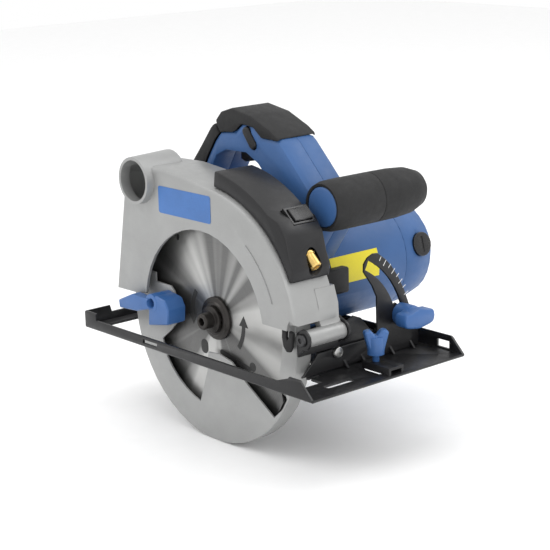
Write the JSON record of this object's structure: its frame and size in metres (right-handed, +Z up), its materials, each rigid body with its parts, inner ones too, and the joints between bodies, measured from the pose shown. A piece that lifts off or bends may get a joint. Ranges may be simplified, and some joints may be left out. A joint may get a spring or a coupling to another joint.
{
  "type": "circular saw",
  "caption": "Corded handheld circular saw with silver guards, blue and black housing, laser cover, tilting black sole plate and retracting lower guard.",
  "frame": {"origin": "middle of the sole plate's underside", "axes": "+X forward along the cut, -Y the blade side, +Z up"},
  "size_m": [0.274, 0.2302, 0.2508],
  "materials": {
    "black_steel": "satin",
    "die_cast": "satin",
    "bright_steel": "satin",
    "blue_plastic": "satin",
    "black_plastic": "satin",
    "soft_grip": "matte",
    "brass": "satin",
    "copper": "satin"
  },
  "bodies": {
    "base": {"sole_plate": "black_steel", "rivet_front": "bright_steel", "rivet_rear": "bright_steel", "bevel_quadrant": "black_steel", "rear_bevel_bracket": "black_steel"},
    "tilt_frame": {"tilt_bracket_front": "black_steel", "tilt_bracket_rear": "black_steel", "bevel_pin_front": "bright_steel", "bevel_pin_rear": "bright_steel", "bevel_stud": "bright_steel", "depth_pivot_pin": "bright_steel"},
    "saw_body": {"upper_guard": "die_cast", "guard_spring": "bright_steel", "gear_housing": "die_cast", "bearing_plate": "die_cast", "motor_housing": "blue_plastic", "motor_end_cover": "blue_plastic", "brush_cap_front": "black_plastic", "brush_cap_rear": "black_plastic", "brush_tube_front": "brass", "brush_tube_rear": "brass", "field_core": "bright_steel", "field_winding": "copper", "spindle_bearing_front": "bright_steel", "spindle_bearing_rear": "bright_steel", "armature_bearing_front": "bright_steel", "armature_bearing_rear": "bright_steel", "laser_cover": "black_plastic", "laser_switch_body": "black_plastic", "laser_module": "brass", "guard_bumper": "soft_grip", "depth_clamp_bolt": "bright_steel", "handle_shell_right": "blue_plastic", "handle_shell_left": "blue_plastic", "top_grip": "soft_grip", "rear_grip": "soft_grip", "aux_grip_near": "soft_grip", "aux_grip_far": "soft_grip", "aux_handle_core": "blue_plastic", "switch_body": "black_plastic", "cord_gland": "black_plastic"},
    "spindle": {"output_spindle": "bright_steel", "drive_gear": "bright_steel", "inner_flange": "bright_steel", "saw_blade": "bright_steel", "outer_flange": "black_steel", "blade_bolt": "black_steel"},
    "armature": {"armature_shaft": "bright_steel", "armature_core": "bright_steel", "commutator": "copper", "cooling_fan": "black_plastic"},
    "lower_guard": {"lower_guard_shell": "die_cast", "guard_lever": "blue_plastic"},
    "wing_screw": {"fence_wing_screw": "blue_plastic"},
    "knob": {"bevel_knob": "blue_plastic"},
    "clamp_lever": {"depth_lever": "blue_plastic"},
    "trigger": {"switch_trigger": "black_plastic"},
    "lock_button": {"lock_off_button": "black_plastic"},
    "rocker": {"laser_switch_rocker": "black_plastic"},
    "lock_pin": {"spindle_lock_button": "black_plastic"}
  },
  "joints": [
    {"name": "bevel_tilt", "type": "hinge", "parent": "base", "child": "tilt_frame", "pos_m": [0, -0.015, 0.015], "axis": [1, 0, 0], "range_deg": [0, 45]},
    {"name": "depth_swing", "type": "hinge", "parent": "tilt_frame", "child": "saw_body", "pos_m": [0.1014, -0.034, 0.0335], "axis": [0, 1, 0], "range_deg": [0, 26]},
    {"name": "spindle_spin", "type": "hinge", "parent": "saw_body", "child": "spindle", "pos_m": [-0.004, -0.0452, 0.0275], "axis": [0, 1, 0], "continuous": true},
    {"name": "armature_spin", "type": "hinge", "parent": "saw_body", "child": "armature", "pos_m": [0, 0, 0.05238], "axis": [0, 1, 0], "continuous": true},
    {"name": "lower_guard_swing", "type": "hinge", "parent": "saw_body", "child": "lower_guard", "pos_m": [-0.004, -0.0452, 0.0275], "axis": [0, 1, 0], "range_deg": [0, 125], "stiffness_Nm_per_rad": 0.12, "springref_deg": -68.75},
    {"name": "fence_screw_turn", "type": "hinge", "parent": "base", "child": "wing_screw", "pos_m": [0.113, 0.0075, 0.02], "axis": [0, 0, 1], "range_deg": [-170, 170]},
    {"name": "bevel_knob_turn", "type": "hinge", "parent": "tilt_frame", "child": "knob", "pos_m": [0.09575, 0.05049, 0.03133], "axis": [1, 0, 0], "range_deg": [-90, 90]},
    {"name": "depth_lever_turn", "type": "hinge", "parent": "saw_body", "child": "clamp_lever", "pos_m": [-0.08549, -0.01615, 0.04003], "axis": [0, 1, 0], "range_deg": [-60, 0]},
    {"name": "trigger_pull", "type": "slide", "parent": "saw_body", "child": "trigger", "axis": [0, 0, 1], "range_m": [0, 0.004], "stiffness_N_per_m": 400, "springref_m": -0.001},
    {"name": "lock_off_press", "type": "slide", "parent": "saw_body", "child": "lock_button", "axis": [0, 1, 0], "range_m": [0, 0.002], "stiffness_N_per_m": 300, "springref_m": -0.001},
    {"name": "laser_switch_rock", "type": "hinge", "parent": "saw_body", "child": "rocker", "pos_m": [0.076, -0.0325, 0.1175], "axis": [-0.7547, 0, 0.6561], "range_deg": [-14, 0]},
    {"name": "spindle_lock_press", "type": "slide", "parent": "saw_body", "child": "lock_pin", "axis": [-1, 0, 0], "range_m": [0, 0.003], "stiffness_N_per_m": 400, "springref_m": -0.001}
  ],
  "couplings": [
    {"joint": "armature_spin", "follows": "spindle_spin", "ratio": -3.6667}
  ]
}
